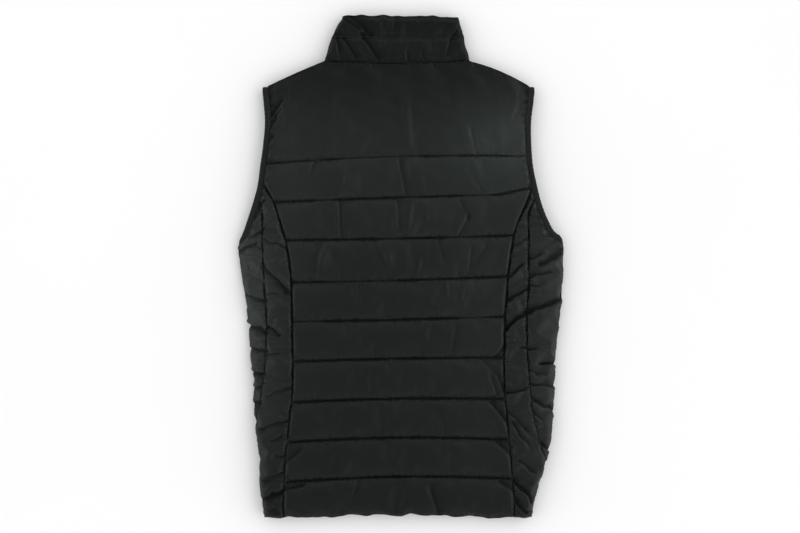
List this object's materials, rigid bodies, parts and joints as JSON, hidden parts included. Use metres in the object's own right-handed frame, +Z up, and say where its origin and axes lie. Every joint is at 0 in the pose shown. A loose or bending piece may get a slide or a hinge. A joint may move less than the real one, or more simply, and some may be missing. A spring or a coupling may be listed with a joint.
{
  "type": "puffer vest",
  "caption": "Quilted puffer vest with a stand collar, curved side panels, bound armholes and a front zip, laid flat on its front.",
  "frame": {"origin": "on the surface the vest lies on, under the middle of its outline", "axes": "+Z up out of the back panel, +Y toward the collar, +X toward the vest's right armhole as seen from above"},
  "size_m": [0.4762, 0.7282, 0.0255],
  "materials": {
    "shell_fabric": "smooth woven nylon with a satin sheen, near black",
    "binding_tape": "matt stretch tape, near black",
    "zip_tape": "matt woven tape with moulded teeth, near black",
    "slider_metal": "semi-gloss black enamel"
  },
  "bodies": {
    "vest": {"back_centre": "shell_fabric", "side_back_left": "shell_fabric", "side_back_right": "shell_fabric", "side_left": "shell_fabric", "side_right": "shell_fabric", "front_left": "shell_fabric", "front_right": "shell_fabric", "collar": "shell_fabric", "armhole_binding_left": "binding_tape", "armhole_binding_right": "binding_tape", "zip": "zip_tape", "zip_slider": "slider_metal"},
    "pull_tab": {"zip_pull_tab": "slider_metal"}
  },
  "joints": [
    {"name": "pull_tab_hinge", "type": "hinge", "parent": "vest", "child": "pull_tab", "pos_m": [0, 0.295, 0.0022], "axis": [1, 0, 0], "range_deg": [0, 170]}
  ]
}
